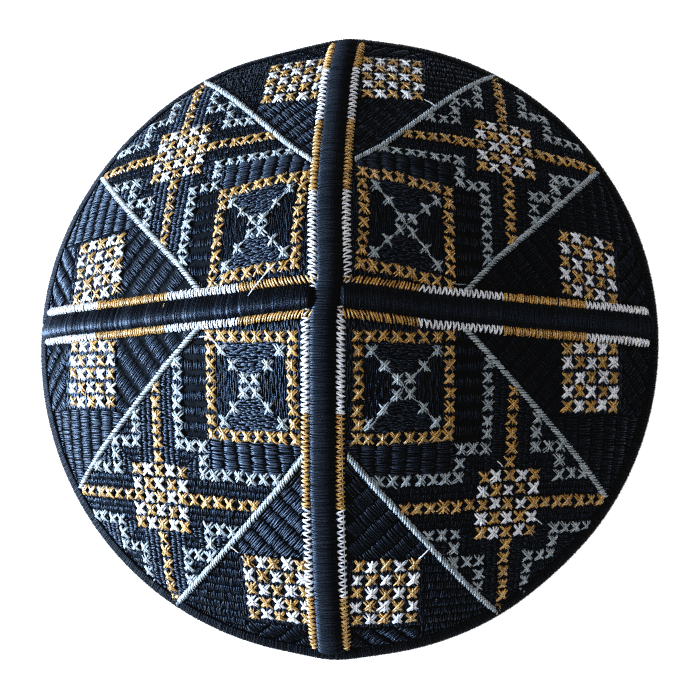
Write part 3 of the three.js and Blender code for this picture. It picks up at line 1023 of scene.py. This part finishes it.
# Threads: darkest and lightest colour, roughness, specular level, IOR, tint
THREADS = {
    "ground": ((0.009, 0.0095, 0.0105), (0.023, 0.024, 0.027), 0.5, 0.8, 1.5, BLUE_SHEEN),
    "ridge": ((0.007, 0.007, 0.0075), (0.016, 0.016, 0.0175), 0.45, 0.45, 1.5, BLUE_SHEEN),
    "rim": ((0.008, 0.008, 0.0085), (0.019, 0.019, 0.0205), 0.6, 0.2, 1.5, BLUE_SHEEN),
    "gold": ((0.225, 0.134, 0.045), (0.51, 0.315, 0.112), 0.36, 0.7, 1.6, WARM_SHEEN),
    "white": ((0.48, 0.49, 0.53), (0.77, 0.78, 0.82), 0.4, 0.6, 1.5, PALE_SHEEN),
    "grey": ((0.21, 0.233, 0.25), (0.36, 0.4, 0.43), 0.45, 0.5, 1.5, ICE_SHEEN),
}
black_cloth = cloth_material("black_cloth")
thread_materials = {
    name: thread_material(f"{name}_thread", *row) for name, row in THREADS.items()}
embroidery_threads = [thread_materials[name] for name in ("gold", "white", "grey")]
for pale_thread in embroidery_threads:
    twist(pale_thread)
    let_light_in(pale_thread)

# Pieces


def dress_gore(gore):
    cloth = Stitching()
    cloth.add_solid(*gore_cloth(gore))
    ground = Stitching()
    sew_ground(gore, ground)
    ornament = Stitching()
    sew_crosses(gore, ornament)
    sew_carried(gore, ornament)
    sew_loose(gore, ornament)
    sew_grey_lines(gore, ornament)
    sew_seam_lines(gore, ornament)
    panel = make_piece(f"gore_{gore}", cloth, [black_cloth])
    fill = make_piece(f"ground_stitches_{gore}", ground, [thread_materials["ground"]])
    cross = make_piece(f"embroidery_{gore}", ornament, embroidery_threads)
    for piece in (panel, fill, cross):
        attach(piece, "root")
    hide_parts(f"panel_{gore}")


def dress_ridge(seam):
    work = Stitching()
    work.add_solid(*ridge_core(seam))
    wind_ridge(seam, work)
    ridge = make_piece(f"seam_ridge_{seam}", work, [black_cloth, thread_materials["ridge"]])
    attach(ridge, "root")
    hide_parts(f"ridge_{seam}")


def dress_rim():
    work = Stitching()
    work.add_solid(*rim_core())
    wind_rim(work)
    rim = make_piece("stitched_rim", work, [black_cloth, thread_materials["rim"]])
    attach(rim, "root")
    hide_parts("rim_binding")


for name in GORES:
    dress_gore(name)
for name in ("long", "e", "w"):
    dress_ridge(name)
dress_rim()

# Stage

FLOOR_HALF = 8.5  # metres, past the backdrop
BACKDROP_RADIUS, BACKDROP_HEIGHT, BACKDROP_SIDES = 8.0, 6.0, 64
PAPER_ROUGHNESS, PAPER_GLOSS, PAPER_GREY, PAPER_GLOW = 0.9, 0.1, 0.92, 0.85
SKY_COLOUR, SKY_STRENGTH = (1, 0.99, 0.97), 0.03
# Lights, which face the origin: place in metres, width and height, watts, colour
LIGHTS = {
    "window": ((-1.514, -0.16, 0.296), (0.7, 0.2), 157, (0.65, 0.81, 1.0)),
    "ceiling": ((-0.6, -0.1, 1.9), (1.2, 1.2), 35, (1.0, 0.98, 0.96)),
}


def make_paper():
    material, _, shader = new_material("floor_paper", PAPER_ROUGHNESS, PAPER_GLOSS)
    set_inputs(
        shader, Base_Color=(PAPER_GREY, PAPER_GREY, PAPER_GREY, 1),
        Emission_Color=(1, 1, 1, 1), Emission_Strength=PAPER_GLOW)
    return material


def set_up(name, corners, faces, material):
    """Puts a piece of the stage in place."""
    mesh = bpy.data.meshes.new(name)
    mesh.from_pydata(corners, [], faces)
    mesh.materials.append(material)
    piece = put_in_scene(name, mesh)
    return piece


def make_floor(paper):
    signs = ((-1, -1), (1, -1), (1, 1), (-1, 1))
    corners = [(x * FLOOR_HALF, y * FLOOR_HALF, 0) for x, y in signs]
    set_up("floor", corners, [(0, 1, 2, 3)], paper)


def make_backdrop(paper):
    """Far wall behind low views, which casts no light on the cap."""
    turns = 2 * np.pi * np.arange(BACKDROP_SIDES) / BACKDROP_SIDES
    corners = [(BACKDROP_RADIUS * np.cos(turn), BACKDROP_RADIUS * np.sin(turn), height)
               for height in (0, BACKDROP_HEIGHT) for turn in turns]
    low = np.arange(BACKDROP_SIDES)
    after = np.roll(low, -1)
    faces = np.stack([after, low, low + BACKDROP_SIDES, after + BACKDROP_SIDES], 1).tolist()
    backdrop = set_up("backdrop", corners, faces, paper)
    backdrop.visible_diffuse = False
    backdrop.visible_glossy = False
    backdrop.visible_shadow = False


def placement(side, back, place):
    """Placement of a lamp or camera that looks away from its back."""
    up = np.cross(back, side)
    rows = [(side[k], up[k], back[k], place[k]) for k in range(3)]
    return Matrix(rows + [(0, 0, 0, 1)])


def make_light(name, place, size, power, colour):
    light = bpy.data.lights.new(name, "AREA")
    light.shape = "ELLIPSE"
    light.size, light.size_y = size
    light.energy = power
    light.color = colour
    lamp = put_in_scene(name, light)
    back = unit(np.array(place))
    lamp.matrix_world = placement(unit(np.cross((0, 0, 1), back)), back, place)


# Viewpoint of the photograph
CAMERA_PLACE = np.array((0.0302, -0.0624, 0.2959))
CAMERA_BACK = unit(np.array((0.0916, -0.188, 0.9779)))
CAMERA_RIGHT = np.array((0.9958, 0.0216, -0.0891))
CAMERA_LENS, CAMERA_SENSOR = 51.73, 36  # millimetres
CAMERA_CLIP = 0.01  # metres


def make_camera():
    camera = bpy.data.cameras.new("camera")
    camera.lens = CAMERA_LENS
    camera.sensor_width = CAMERA_SENSOR
    camera.clip_start = CAMERA_CLIP
    holder = put_in_scene("camera", camera)
    up = unit(np.cross(CAMERA_BACK, CAMERA_RIGHT))
    holder.matrix_world = placement(np.cross(up, CAMERA_BACK), CAMERA_BACK, CAMERA_PLACE)
    bpy.context.scene.camera = holder


def make_world():
    world = bpy.data.worlds.new("studio")
    world.use_nodes = True
    background = world.node_tree.nodes["Background"]
    set_inputs(background, Color=(*SKY_COLOUR, 1), Strength=SKY_STRENGTH)
    bpy.context.scene.world = world


# Tone curve of the photograph: light of the scene, light of the picture
TONES = [
    (0, 0.0022), (0.005, 0.0026), (0.01, 0.0033), (0.02, 0.0068), (0.04, 0.0187), (0.08, 0.052),
    (0.15, 0.118), (0.3, 0.27), (0.6, 0.58),
]
COMBINED_CURVE = 3  # the one that works on all three colours


def set_tones():
    settings = bpy.context.scene.view_settings
    settings.view_transform = "Standard"
    settings.use_curve_mapping = True
    curve = settings.curve_mapping.curves[COMBINED_CURVE]
    curve.points[0].location = TONES[0]
    for light, shown in TONES[1:]:
        curve.points.new(light, shown)
    settings.curve_mapping.update()


floor_paper = make_paper()
make_floor(floor_paper)
make_backdrop(floor_paper)
for name, row in LIGHTS.items():
    make_light(name, *row)
make_world()
make_camera()
set_tones()
# Noise removal would wipe out the threads, which are about as wide as a pixel
bpy.context.scene.cycles.use_denoising = False
